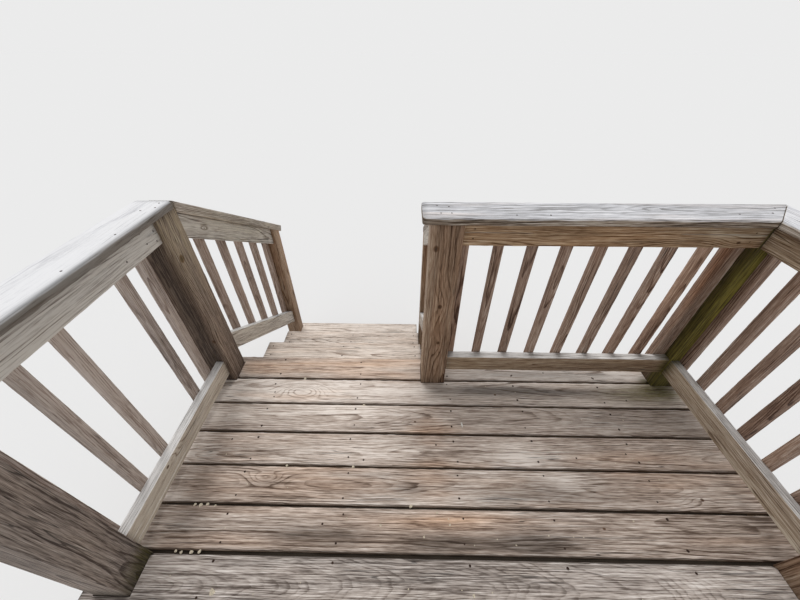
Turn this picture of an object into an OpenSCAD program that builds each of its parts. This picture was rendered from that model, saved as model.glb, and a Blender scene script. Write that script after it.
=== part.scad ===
// Timber landing deck with guards on three sides and a straight open-riser flight of stairs.
// X runs along the deck boards, Y runs from the house side out and down the flight, Z is up.
// The origin is at the bottom centre of the bounding box. All sizes are in millimetres.

/* [Stair flight] */
// Number of risers from the ground to the deck, the last one up to the deck itself
risers = 4; // [4:1:6]
// Height of one riser
rise = 178; // [150:1:200]
// Depth of one step, from nosing to nosing
run = 279; // [250:1:300]
// Clear width of the flight between the two stair posts
stair_clear = 929; // [760:1:1200]
// How far each end of a tread passes the inner faces of the stair posts
tread_side_lap = 17; // [8:1:30]
// Gap between the two boards of a tread
tread_gap = 3; // [2:1:8]
// Thickness of a stringer plank
stringer_t = 38; // [32:1:45]
// Wood left under the stringer's notches, square to its slope
stringer_throat = 136; // [120:1:160]

/* [Deck] */
// Number of boards across the landing
deck_boards = 7; // [7:1:9]
// Width of a deck or tread board
board_w = 139; // [136:1:142]
// Thickness of a deck or tread board
board_t = 25; // [22:1:32]
// Gap between two deck boards
board_gap = 4; // [2:1:7]
// Rounding along the edges of the deck boards and caps
board_round = 6; // [3:1:8]
// Rounding along the edges of the posts, rails, balusters and joists
lumber_round = 3; // [1:0.5:5]
// How far the deck boards pass the side and front rims
board_lip = 3; // [1:1:10]
// Space left around a post where a board is notched for it
notch_gap = 2; // [1:0.5:4]
// Height of the joists and rims
joist_h = 184; // [140:1:235]
// Thickness of the joists and rims
joist_t = 38; // [32:1:45]
// Spacing of the joists, centre to centre
joist_pitch = 408; // [360:1:430]
// Distance from the joist beside the right stair post to the next one toward the left guard
joist_first = 440; // [380:1:450]
// Height of the board that the stringers hang on
hanger_h = 140; // [120:1:150]

/* [Posts] */
// Side of the square deck posts
post_w = 114; // [105:1:125]
// Side of the square posts at the foot of the flight
foot_post_w = 89; // [80:1:100]
// Gap between the house posts and the wall line
wall_gap = 24; // [10:1:40]
// How far the foot posts' outer faces stand back from the end of the stringers
foot_post_inset = 31; // [10:1:60]

/* [Guards] */
// Clear width of the front guard, from the stair post to the corner post
front_opening = 1025; // [900:1:1400]
// Height of the cap's top over the deck
guard_h = 891; // [800:1:1070]
// Width of a cap board
cap_w = 140; // [134:1:146]
// Thickness of a cap board
cap_t = 27; // [22:1:38]
// How far the left cap overhangs the inner faces of its posts
left_cap_lap = 11; // [4:1:22]
// How far the front cap runs past the right stair post, over the flight
front_cap_reach = 32; // [10:1:45]
// How far the left cap stops short of the outer face of the left stair post
left_cap_short = 13; // [0:1:30]
// Rounding of the caps' free corners
cap_corner = 17; // [8:1:25]
// Width of the open mitre joint between the front and right caps
mitre_gap = 2; // [0.5:0.5:4]
// Height of a rail laid on edge
rail_h = 89; // [80:1:95]
// Thickness of a rail
rail_t = 38; // [32:1:38]
// Side of a square baluster
baluster_w = 32; // [28:1:38]
// Set-back of the left rails, along the deck and the flight, from the inner faces of the posts
left_setback = 17; // [5:1:20]
// Set-back of the front and right rails from the inner faces of the posts
front_setback = 3; // [0:1:15]
// Height of the left bottom rail's underside over the deck
left_low_gap = 49; // [30:1:110]
// Height of the front and right bottom rails' undersides over the deck
front_low_gap = 99; // [30:1:110]
// Gap between the balusters' heads and the cap
baluster_head = 4; // [1:1:12]
// Spacing of the front guard's balusters, from the one against the stair post on
front_baluster_pitch = 126; // [110:1:140]
// Width of the front guard's last baluster, against the corner post
front_last_w = 62; // [32:1:70]
// Balusters of the right guard, the first and last against the posts
right_baluster_count = 7; // [5:1:8]
// Baluster places in the left guard, the first against the house post
left_baluster_places = 6; // [5:1:7]
// Clear space between the last left baluster and the left stair post
left_end_clear = 54; // [20:1:90]
// How far the inner left balusters were nailed off their even places, toward the flight
left_drift = 21; // [0:1:25]
// Which inner left baluster is missing, counted from the house post
left_missing = 3; // [1:1:3]

/* [Stair guards] */
// Height of the upper end of the stair rail over the nosing line
stair_rail_up = 816; // [760:1:850]
// Height of the lower end of the stair rail over the nosing line
stair_rail_low = 844; // [780:1:880]
// Height of the upper end of the bottom stair rail over the nosing line
low_rail_up = 187; // [160:1:220]
// Height of the lower end of the bottom stair rail over the nosing line
low_rail_low = 157; // [140:1:200]
// Balusters in each stair guard, the last against the foot post
stair_baluster_count = 5; // [4:1:7]
// Clear space between the stair post and the first stair baluster
stair_first_clear = 132; // [80:1:150]
// How far the stair balusters stop short of the rails' outer edges
stair_baluster_short = 6; // [2:1:15]
// Set-back of the right stair rails and foot post from the inner face of the stair post
right_stair_setback = 33; // [5:1:40]
// Width of the plank laid flat along the top of each stair guard
stair_cap_w = 89; // [80:1:114]
// Thickness of that plank
stair_cap_t = 38; // [22:1:38]
// How far that plank runs past the foot post
stair_cap_reach = 54; // [10:1:80]

/* [Hidden] */
EPS = 1;
EDGE_FACETS = 24;
CORNER_FACETS = 48;

// Plan, along X: deck edge, rims, posts and the flight between the two stair posts
edge = joist_t + board_lip;
deck_len = 2 * edge + 3 * post_w + stair_clear + front_opening;
x_left = -deck_len / 2;
x_lp = x_left + edge;
x_sl = x_lp + post_w;
x_sr = x_sl + stair_clear;
x_fr = x_sr + post_w;
x_cp = x_fr + front_opening;
x_rp = x_cp + post_w;
x_right = x_rp + edge;
x_mid = (x_sl + x_sr) / 2;

// Plan, along Y: wall line, deck edge, rims, posts and the flight
board_pitch = board_w + board_gap;
deck_depth = deck_boards * board_pitch - board_gap;
treads = risers - 1;
nosing = 2 * board_w + tread_gap - run;
overrun = max(nosing, stair_cap_reach - foot_post_inset);
flight_len = treads * run + overrun - board_lip;
y_house = -(deck_depth + flight_len) / 2;
y_front = y_house + deck_depth;
y_rim = y_front - board_lip;
y_post = y_rim - joist_t;
y_in = y_post - post_w;
y_hp = y_house + wall_gap;
y_hp_in = y_hp + post_w;
y_fp = y_rim + treads * run - foot_post_inset - foot_post_w;
y_fp_out = y_fp + foot_post_w;

// Heights
deck_z = risers * rise;
frame_z = deck_z - board_t;
joist_z = frame_z - joist_h;
cap_z = deck_z + guard_h - cap_t;
slope = rise / run;
stringer_drop = stringer_throat * sqrt(1 + slope * slope);

// Where the guard lines stand
x_lrail = x_sl - left_setback;
y_frail = y_in + front_setback;
x_rrail = x_cp + front_setback;
x_rstair = x_sr + right_stair_setback;
front_cap_lap = cap_w - post_w;
left_span = y_in - y_hp_in;
stair_z_up = function (over) deck_z + over + slope * (y_front - y_post);
stair_z_low = function (over) deck_z + over - slope * (y_fp - y_front);

// A block given by its two opposite corners
module block(a, b) {
    translate(a)
        cube(b - a);
}

// Section of a piece of lumber with its edges rounded to a radius, from the origin to (w, t)
module section(w, t, radius) {
    r = min(radius, t / 2 - EPS);
    translate([r, 0])
        square([w - 2 * r, t]);
    translate([0, r])
        square([w, t - 2 * r]);
    for (x = [r, w - r], y = [r, t - r])
        translate([x, y])
            circle(r, $fn = EDGE_FACETS);
}

// Pieces of lumber along X, Y or Z, given by two opposite corners
module lumber_x(a, b, radius = lumber_round) {
    translate(a)
        rotate([90, 0, 90])
            linear_extrude(b.x - a.x)
                section(b.y - a.y, b.z - a.z, radius);
}

module lumber_y(a, b, radius = lumber_round) {
    translate([a.x, b.y, a.z])
        rotate([90, 0, 0])
            linear_extrude(b.y - a.y)
                section(b.x - a.x, b.z - a.z, radius);
}

module lumber_z(a, b, radius = lumber_round) {
    translate(a)
        linear_extrude(b.z - a.z)
            section(b.x - a.x, b.y - a.y, radius);
}

// A plank cut to an outline in the YZ plane, from x to x + t
module plank_yz(x, t, points) {
    translate([x, 0, 0])
        rotate([90, 0, 90])
            linear_extrude(t)
                polygon(points);
}

// The space a post needs in a board
module post_notch(x, y, w) {
    block([x - notch_gap, y - notch_gap, 0], [x + w + notch_gap, y + w + notch_gap, deck_z + EPS]);
}

// Deck board k, counted from the flight, notched around the posts that it meets
module deck_board(k) {
    y = y_front - (k - 1) * board_pitch - board_w;
    color("burlywood")
        difference() {
            lumber_x([x_left, y, frame_z], [x_right, y + board_w, deck_z], board_round);
            for (x = [x_lp, x_sr, x_cp])
                post_notch(x, y_in, post_w);
            for (x = [x_lp, x_cp])
                post_notch(x, y_hp, post_w);
        }
}

// Tread k, counted from the deck: two boards, notched around a foot post that they meet
module tread(k) {
    z = deck_z - k * rise;
    color("tan")
        difference() {
            for (j = [0, 1]) {
                y = y_rim + (k - 1) * run + j * (board_w + tread_gap);
                lumber_x([x_sl - tread_side_lap, y, z - board_t],
                    [x_sr + tread_side_lap, y + board_w, z], board_round);
            }
            for (x = [x_sl - foot_post_w, x_rstair])
                post_notch(x, y_fp, foot_post_w);
        }
}

// A sawtooth-cut stringer: plumb and level cuts for each step, a level foot and a plumb head
module stringer(x) {
    seat = function (k) deck_z - k * rise - board_t;
    teeth = [for (k = [1:treads], p = [[(k - 1) * run, seat(k)], [k * run, seat(k)]]) p];
    head = seat(1) - stringer_drop;
    foot_y = head / slope;
    outline = concat([[0, head]], teeth, [[treads * run, 0], [foot_y, 0]]);
    color("peru")
        plank_yz(x, stringer_t, [for (p = outline) [y_rim + p[0], p[1]]]);
}

// A joist or side rim along Y
module joist(x, ya, yb) {
    color("sienna")
        lumber_y([x, ya, joist_z], [x + joist_t, yb, frame_z]);
}

// One joist against the right stair post, those before it, and those after it, spaced from the
// right rim back
module joists() {
    before = 1 + floor((x_fr - joist_first - x_sl) / joist_pitch);
    after = floor((x_rp - x_fr - 2 * joist_t) / joist_pitch);
    places = concat([x_fr], [for (k = [1:before]) x_fr - joist_first - (k - 1) * joist_pitch],
        [for (k = [1:after]) x_rp - k * joist_pitch]);
    for (x = places)
        joist(x, y_house + joist_t, y_post);
}

// The front rim or the ledger, along X
module cross_joist(xa, xb, y) {
    color("sienna")
        lumber_x([xa, y, joist_z], [xb, y + joist_t, frame_z]);
}

// The board under the front rim that the stringers' heads bear on
module stringer_hanger() {
    color("sienna")
        lumber_x([x_lp, y_post, joist_z - hanger_h], [x_fr, y_rim, joist_z]);
}

// Plan outline of a cap along X or Y with its free corners rounded off
module rounded_corner(x, y, sx, sy) {
    translate([x, y])
        scale([sx, sy])
            difference() {
                translate([-EPS, -EPS])
                    square(cap_corner + EPS);
                translate([cap_corner, cap_corner])
                    circle(cap_corner, $fn = CORNER_FACETS);
            }
}

// All on one side of the diagonal through the corner where two caps meet; side 1 is the front
// cap's and side -1 the right cap's, half of the open joint away from the diagonal
module mitre_side(side) {
    reach = deck_len;
    xm = x_cp - front_cap_lap;
    ym = y_in - front_cap_lap + side * mitre_gap / sqrt(2);
    translate([0, 0, cap_z - EPS])
        linear_extrude(cap_t + 2 * EPS)
            polygon([[xm - reach, ym - reach], [xm + reach, ym + reach],
                [xm - side * reach, ym + side * reach]]);
}

module left_cap() {
    x = x_sl + left_cap_lap - cap_w;
    y_end = y_post - left_cap_short;
    color("gainsboro")
        difference() {
            lumber_y([x, y_house, cap_z], [x + cap_w, y_end, cap_z + cap_t], board_round);
            translate([0, 0, cap_z - EPS])
                linear_extrude(cap_t + 2 * EPS) {
                    rounded_corner(x, y_end, 1, -1);
                    rounded_corner(x + cap_w, y_end, -1, -1);
                }
        }
}

module front_cap() {
    x = x_sr - front_cap_reach;
    y = y_in - front_cap_lap;
    color("gainsboro")
        difference() {
            intersection() {
                lumber_x([x, y, cap_z], [x_right, y + cap_w, cap_z + cap_t], board_round);
                mitre_side(1);
            }
            translate([0, 0, cap_z - EPS])
                linear_extrude(cap_t + 2 * EPS) {
                    rounded_corner(x, y, 1, 1);
                    rounded_corner(x, y + cap_w, 1, -1);
                }
        }
}

module right_cap() {
    x = x_cp - front_cap_lap;
    color("gainsboro")
        intersection() {
            lumber_y([x, y_house, cap_z], [x + cap_w, y_front, cap_z + cap_t], board_round);
            mitre_side(-1);
        }
}

// A rail of the front guard, with its underside at z
module rail_x(z) {
    color("darkkhaki")
        lumber_x([x_fr, y_frail, z], [x_cp, y_frail + rail_t, z + rail_h]);
}

// A rail of the left or right guard, with its underside at z
module rail_y(x, z) {
    color("darkkhaki")
        lumber_y([x, y_hp_in, z], [x + rail_t, y_in, z + rail_h]);
}

// A level guard's baluster, with its lowest corner at (x, y, z) and w wide along X
module baluster(x, y, z, w = baluster_w) {
    lumber_z([x, y, z], [x + w, y + baluster_w, cap_z - baluster_head]);
}

module left_balusters() {
    last = left_baluster_places - 1;
    pitch = (left_span - baluster_w - left_end_clear) / last;
    color("rosybrown")
        for (k = [0:last])
            if (k != left_missing)
                baluster(x_lrail - rail_t - baluster_w,
                    y_hp_in + k * pitch + (k > 0 && k < last ? left_drift : 0),
                    deck_z + left_low_gap);
}

// Evenly spaced from the stair post on, and a wider one against the corner post
module front_balusters() {
    last = floor((front_opening - front_last_w - baluster_w) / front_baluster_pitch);
    y = y_frail + rail_t;
    z = deck_z + front_low_gap;
    color("rosybrown") {
        for (k = [0:last])
            baluster(x_fr + k * front_baluster_pitch, y, z);
        baluster(x_cp - front_last_w, y, z, front_last_w);
    }
}

module right_balusters() {
    pitch = (left_span - baluster_w) / (right_baluster_count - 1);
    color("rosybrown")
        for (k = [0:right_baluster_count - 1])
            baluster(x_rrail + rail_t, y_hp_in + k * pitch, deck_z + front_low_gap);
}

// Fall of a stair rail per length along Y; up and low are its heights over the nosing line
function rail_fall(up, low) = (stair_z_up(up) - stair_z_low(low)) / (y_fp - y_post);

// Length along the slope for a length of 1 along Y
function rail_lean(up, low) = sqrt(1 + pow(rail_fall(up, low), 2));

// Height of a stair rail's top edge at y
function rail_top(y, up, low) = stair_z_up(up) - rail_fall(up, low) * (y - y_post);

// Height of a stair rail's cut face, measured plumb
function rail_deep(up, low) = rail_h * rail_lean(up, low);

// A piece w wide along X that slopes with a stair rail, from z to z + t square to the rail's top
// edge, and from behind the stair post to the given length past the post's outer face
module sloping(x, w, z, t, length, up, low) {
    translate([x, y_post, stair_z_up(up)])
        rotate([-atan(rail_fall(up, low)), 0, 0])
            lumber_y([0, -post_w, z], [w, length, z + t]);
}

// A sloping rail between a stair post and a foot post, both its ends cut plumb
module stair_rail(x, up, low) {
    color("darkkhaki")
        intersection() {
            sloping(x, rail_t, -rail_h, rail_h, flight_len * rail_lean(up, low), up, low);
            block([x - EPS, y_post, 0], [x + rail_t + EPS, y_fp, cap_z + cap_t]);
        }
}

// A stair guard's balusters, cut to the slopes of its two rails
module stair_balusters(x) {
    last = y_fp - baluster_w;
    first = y_post + stair_first_clear;
    pitch = (last - first) / (stair_baluster_count - 1);
    foot = stair_baluster_short - rail_deep(low_rail_up, low_rail_low);
    color("rosybrown")
        intersection() {
            for (k = [0:stair_baluster_count - 1]) {
                y = first + k * pitch;
                lumber_z([x, y, 0], [x + baluster_w, y + baluster_w, cap_z]);
            }
            plank_yz(x, baluster_w, [
                [y_post, rail_top(y_post, low_rail_up, low_rail_low) + foot],
                [y_fp, rail_top(y_fp, low_rail_up, low_rail_low) + foot],
                [y_fp, rail_top(y_fp, stair_rail_up, stair_rail_low) - stair_baluster_short],
                [y_post, rail_top(y_post, stair_rail_up, stair_rail_low) - stair_baluster_short],
            ]);
        }
}

// The plank laid flat on a stair guard's top rail, over the head of the foot post that begins at
// x, from the stair post down to an end cut square to its slope
module stair_cap(x) {
    x_cap = x + (foot_post_w - stair_cap_w) / 2;
    y_end = y_fp_out + stair_cap_reach;
    length = (y_end - y_post) * rail_lean(stair_rail_up, stair_rail_low)
        - stair_cap_t * rail_fall(stair_rail_up, stair_rail_low);
    color("darkkhaki")
        intersection() {
            sloping(x_cap, stair_cap_w, 0, stair_cap_t, length, stair_rail_up, stair_rail_low);
            block([x_cap - EPS, y_post, 0], [x_cap + stair_cap_w + EPS, y_end + EPS, cap_z + cap_t]);
        }
}

// A square deck post from the ground up to the caps
module deck_post(x, y) {
    color("saddlebrown")
        lumber_z([x, y, 0], [x + post_w, y + post_w, cap_z]);
}

// A post at the foot of the flight, its head cut to the slope of the stair rail
module foot_post(x) {
    color("saddlebrown")
        intersection() {
            lumber_z([x, y_fp, 0], [x + foot_post_w, y_fp_out, cap_z]);
            plank_yz(x, foot_post_w, [
                [y_fp, 0],
                [y_fp_out, 0],
                [y_fp_out, rail_top(y_fp_out, stair_rail_up, stair_rail_low)],
                [y_fp, rail_top(y_fp, stair_rail_up, stair_rail_low)],
            ]);
        }
}

deck_board(1);  // deck_board_1
deck_board(2);  // deck_board_2
deck_board(3);  // deck_board_3
deck_board(4);  // deck_board_4
deck_board(5);  // deck_board_5
deck_board(6);  // deck_board_6
for (k = [7:deck_boards]) deck_board(k);  // deck_board_7
tread(1);  // tread_1
tread(2);  // tread_2
for (k = [3:treads]) tread(k);  // tread_3
stringer(x_sl);  // stringer_left
stringer(x_mid - stringer_t / 2);  // stringer_middle
stringer(x_sr - stringer_t);  // stringer_right
stringer_hanger();
cross_joist(x_lp, x_rp, y_post);  // front_rim
joist(x_lp - joist_t, y_house, y_rim);  // left_rim
joist(x_rp, y_house, y_rim);  // right_rim
cross_joist(x_sl, x_cp, y_house);  // house_ledger
joists();
deck_post(x_lp, y_hp);  // left_house_post
deck_post(x_cp, y_hp);  // right_house_post
deck_post(x_lp, y_in);  // left_stair_post
deck_post(x_sr, y_in);  // right_stair_post
deck_post(x_cp, y_in);  // corner_post
foot_post(x_sl - foot_post_w);  // left_foot_post
foot_post(x_rstair);  // right_foot_post
left_cap();
rail_y(x_lrail - rail_t, cap_z - rail_h);  // left_top_rail
rail_y(x_lrail - rail_t, deck_z + left_low_gap);  // left_bottom_rail
left_balusters();
front_cap();
rail_x(cap_z - rail_h);  // front_top_rail
rail_x(deck_z + front_low_gap);  // front_bottom_rail
front_balusters();
right_cap();
rail_y(x_rrail, cap_z - rail_h);  // right_top_rail
rail_y(x_rrail, deck_z + front_low_gap);  // right_bottom_rail
right_balusters();
stair_rail(x_lrail - rail_t, stair_rail_up, stair_rail_low);  // left_stair_top_rail
stair_rail(x_lrail - rail_t, low_rail_up, low_rail_low);  // left_stair_bottom_rail
stair_balusters(x_lrail - rail_t - baluster_w);  // left_stair_balusters
stair_rail(x_rstair, stair_rail_up, stair_rail_low);  // right_stair_top_rail
stair_rail(x_rstair, low_rail_up, low_rail_low);  // right_stair_bottom_rail
stair_balusters(x_rstair + rail_t);  // right_stair_balusters
for (x = [x_sl - foot_post_w, x_rstair]) stair_cap(x);  // stair_caps
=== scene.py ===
"""Looks of a weathered timber deck, its guards and its flight of stairs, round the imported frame."""
import math
import random

import bmesh
import bpy
from mathutils import Matrix, Vector, noise


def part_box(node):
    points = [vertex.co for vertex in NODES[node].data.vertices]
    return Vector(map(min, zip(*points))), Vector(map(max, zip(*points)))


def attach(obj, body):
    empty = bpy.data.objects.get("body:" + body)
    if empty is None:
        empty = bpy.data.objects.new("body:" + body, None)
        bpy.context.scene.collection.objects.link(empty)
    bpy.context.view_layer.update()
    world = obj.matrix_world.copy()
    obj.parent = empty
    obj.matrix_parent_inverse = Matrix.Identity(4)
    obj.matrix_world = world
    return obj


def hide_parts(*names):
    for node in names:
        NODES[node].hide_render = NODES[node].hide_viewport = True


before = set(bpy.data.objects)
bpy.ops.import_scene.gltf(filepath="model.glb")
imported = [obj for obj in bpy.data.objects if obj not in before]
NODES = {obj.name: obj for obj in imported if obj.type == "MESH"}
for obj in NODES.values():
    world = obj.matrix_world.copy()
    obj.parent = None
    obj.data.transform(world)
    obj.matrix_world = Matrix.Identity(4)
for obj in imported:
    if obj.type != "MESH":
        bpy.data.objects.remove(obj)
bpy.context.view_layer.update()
MM = 0.001
X, Y, Z = Vector((1, 0, 0)), Vector((0, 1, 0)), Vector((0, 0, 1))

# The photograph's view: a wide lens over the landing, looking down the flight
LENS_MM, SENSOR_MM = 14.70, 36.0
EYE = Vector((-0.195, -1.0961, 2.0628))
EYE_YAW, EYE_PITCH, EYE_ROLL = -0.895, -39.106, 0.089

# Main heights and lines of the deck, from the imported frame
DECK_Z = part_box("deck_board_1")[1].z
CAP_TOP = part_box("front_cap")[1].z
POST_IN_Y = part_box("left_stair_post")[0].y
STAIR_LEFT_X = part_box("left_stair_post")[1].x
STAIR_RIGHT_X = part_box("right_stair_post")[0].x
CORNER_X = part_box("corner_post")[0].x
DECK_BOARDS = range(1, 8)


def linear(r, g, b):
    """A colour given as 0 to 255 sRGB, as the linear RGBA that a shader takes."""
    def one(c):
        c /= 255
        return c / 12.92 if c <= 0.04045 else ((c + 0.055) / 1.055) ** 2.4
    return (one(r), one(g), one(b), 1.0)


# Weather, painted shade and painted light: soft patches of moss, grime and bleached or fresh wood

class Patch:
    """A soft patch on some nodes: its middle, its reach along X, Y and Z, and how much moss, grime and
    bleaching it brings. Some of the grime is painted shade and some of the bleaching painted light.
    Negative bleaching is fresh, orange-brown wood."""

    def __init__(self, nodes, middle, reach, moss=0.0, grime=0.0, bleach=0.0):
        self.nodes, self.middle, self.reach = nodes, Vector(middle), reach
        self.brings = (moss, grime, bleach)

    def share(self, place):
        d = sum(((a - b) / r) ** 2 for a, b, r in zip(place, self.middle, self.reach))
        return math.exp(-d)


PATCHES = []


def weather_and_shading(patches, place):
    """Moss, grime and bleaching at a place, with the painted shade and painted light that some of them carry.
    """
    total = [0.0, 0.0, 0.0]
    for patch in patches:
        share = patch.share(place)
        for k in range(3):
            total[k] += share * patch.brings[k]
    return tuple(total)


# Straight timbers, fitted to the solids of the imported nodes

def pieces(node):
    """The points and faces of each separate solid of a CAD node, in order along X, Y and Z."""
    bm = bmesh.new()
    bm.from_mesh(NODES[node].data)
    bmesh.ops.remove_doubles(bm, verts=bm.verts, dist=0.01 * MM)
    bmesh.ops.dissolve_limit(bm, angle_limit=math.radians(0.2), verts=bm.verts, edges=bm.edges)
    found, seen = [], set()
    for start in bm.verts:
        if start in seen:
            continue
        group, queue = [], [start]
        seen.add(start)
        while queue:
            vert = queue.pop()
            group.append(vert)
            for edge in vert.link_edges:
                other = edge.other_vert(vert)
                if other not in seen:
                    seen.add(other)
                    queue.append(other)
        index = {vert: k for k, vert in enumerate(group)}
        faces = {face for vert in group for face in vert.link_faces}
        order = sorted(faces, key=lambda face: face.index)
        found.append(([vert.co.copy() for vert in group], [[index[v] for v in face.verts] for face in order]))
    bm.free()
    return sorted(found, key=lambda piece: tuple(round(min(p[k] for p in piece[0]), 4) for k in range(3)))


def solids(node):
    """The points of each separate solid of a CAD node."""
    return [points for points, _ in pieces(node)]


class Timber:
    """One straight piece of lumber. A point of it is u along, v across and w through the piece, from its
    middle. Each end cut is (place along the middle line, lean across, lean through)."""

    def __init__(self, points, along, through):
        self.along, self.through = along.normalized(), through.normalized()
        self.across = self.through.cross(self.along)
        axes = (self.along, self.across, self.through)
        low = [min(p.dot(a) for p in points) for a in axes]
        high = [max(p.dot(a) for p in points) for a in axes]
        self.middle = sum(((lo + hi) / 2 * a for lo, hi, a in zip(low, high, axes)), Vector())
        self.half = [(hi - lo) / 2 for lo, hi in zip(low, high)]
        self.ends = [(-self.half[0], 0.0, 0.0), (self.half[0], 0.0, 0.0)]

    def local(self, point):
        d = point - self.middle
        return d.dot(self.along), d.dot(self.across), d.dot(self.through)

    def holds(self, point, margin):
        """Whether a point lies on the timber or within a margin of it."""
        return all(abs(c) < h + margin for c, h in zip(self.local(point), self.half))

    def cut(self, end, point, normal):
        """Cuts end 0 or 1 along the plane through a point with a normal."""
        run = self.along.dot(normal)
        reach = (point - self.middle).dot(normal) / run
        self.ends[end] = (reach, -self.across.dot(normal) / run, -self.through.dot(normal) / run)
        return self

    def narrowed(self, low, high):
        """Takes something off the low and the high edge of the piece."""
        self.middle += (low - high) / 2 * self.across
        self.half[1] -= (low + high) / 2
        return self

    def place(self, u, v, w):
        return self.middle + u * self.along + v * self.across + w * self.through

    def length(self):
        return self.ends[1][0] - self.ends[0][0]


class Check:
    """A drying crack along one face: its place across the face, where it starts and ends along the piece,
    and its width and depth in millimetres."""

    def __init__(self, face, at, start, end, width=1.6, depth=5.0):
        self.face, self.at, self.start, self.end = face, at, start, end
        self.width, self.depth = width * MM, depth * MM

    def strength(self, u):
        """How far the crack has opened at a place along the piece, from 0 to 1."""
        if not self.start < u < self.end:
            return 0.0
        t = (u - self.start) / (self.end - self.start)
        return math.sin(math.pi * t) ** 0.5 * (0.75 + 0.25 * noise.noise(Vector((u * 23, self.at * 91, 0))))

    def wander(self, u):
        return 3.5 * MM * noise.noise(Vector((u * 4.1, self.at * 57, 3.3)))

    def opened(self, u, side, v, w):
        """Where a point of the section goes: side is -1 or 1 on a lip of the crack and 0 at its bottom."""
        strength = self.strength(u)
        aside = self.wander(u) + side * self.width / 2 * (strength - 1)
        into = self.depth * strength if side == 0 else 0.0
        if self.face == "bottom":
            return v + aside, w - math.copysign(into, w)
        if self.face == "top":
            return v - aside, w - math.copysign(into, w)
        return v - math.copysign(into, v), w + aside


def rounded_section(hv, hw, radius, cells_v, cells_w, checks):
    """Points round a cross-section as (v, w, on a corner, check, side of the check), anticlockwise from the
    middle of the lower face as seen along the piece from its far end."""
    points = []
    faces = [("bottom", (1, 0), (0, -1), hv, hw, cells_v), ("right", (0, 1), (1, 0), hw, hv, cells_w),
             ("top", (-1, 0), (0, 1), hv, hw, cells_v), ("left", (0, -1), (-1, 0), hw, hv, cells_w)]
    turn = 3
    for name, run, out, reach, off, cells in faces:
        flat = reach - radius
        stops = {round(-flat + 2 * flat * k / cells, 6): (None, 0) for k in range(cells + 1)}
        sign = run[0] + run[1]
        for check in checks:
            if check.face == name:
                at = check.at * sign
                stops = {s: t for s, t in stops.items() if t[0] or abs(s) == round(flat, 6)
                         or abs(s - at) > 2.5 * check.width}
                for side in (-1, 0, 1):
                    stops[round(at + side * check.width / 2, 6)] = (check, side)
        for s in sorted(stops):
            check, side = stops[s]
            points.append((run[0] * s + out[0] * off, run[1] * s + out[1] * off, False, check, side))
        corner = (run[0] * flat + out[0] * (off - radius), run[1] * flat + out[1] * (off - radius))
        for k in range(1, turn):
            a = math.pi / 2 * k / turn
            points.append((corner[0] + radius * (out[0] * math.cos(a) + run[0] * math.sin(a)),
                           corner[1] + radius * (out[1] * math.cos(a) + run[1] * math.sin(a)), True, None, 0))
    return points


SOFT_END = 2 * MM
SAW_CUT = 0.2 * MM
CORNER_STEPS = 7


def stations(length, step, corner, saw_cuts):
    """Distances along a timber at which its section is set: evenly, and closer at its ends and saw cuts."""
    count = max(2, round(length / step))
    stops = {0.0, 0.3 * SOFT_END, SOFT_END, length - SOFT_END, length - 0.3 * SOFT_END, length}
    stops.update(length * k / count for k in range(1, count))
    for near, far in saw_cuts:
        stops.update((near, near + SAW_CUT, far - SAW_CUT, far))
    for k in range(1, CORNER_STEPS + 1):
        back = corner * (1 - math.cos(math.pi / 2 * k / CORNER_STEPS))
        stops.update((back, length - back))
    return sorted(s for s in stops if 0 <= s <= length)


def arc_gap(radius, back):
    """How far an arc of this radius has left the edge, at a distance back from the end."""
    if back >= radius:
        return 0.0
    return radius - math.sqrt(radius ** 2 - (radius - back) ** 2)


KNOT_SLOTS = ("knot_a", "knot_b", "knot_c")
NO_KNOT = (99.0, 99.0, 99.0)
EVEN = (0.0, 0.0, 1.0)
PLAIN = ("grain", "half", "member", "pith", "tone", "weather_and_shading", "knot_size")


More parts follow.
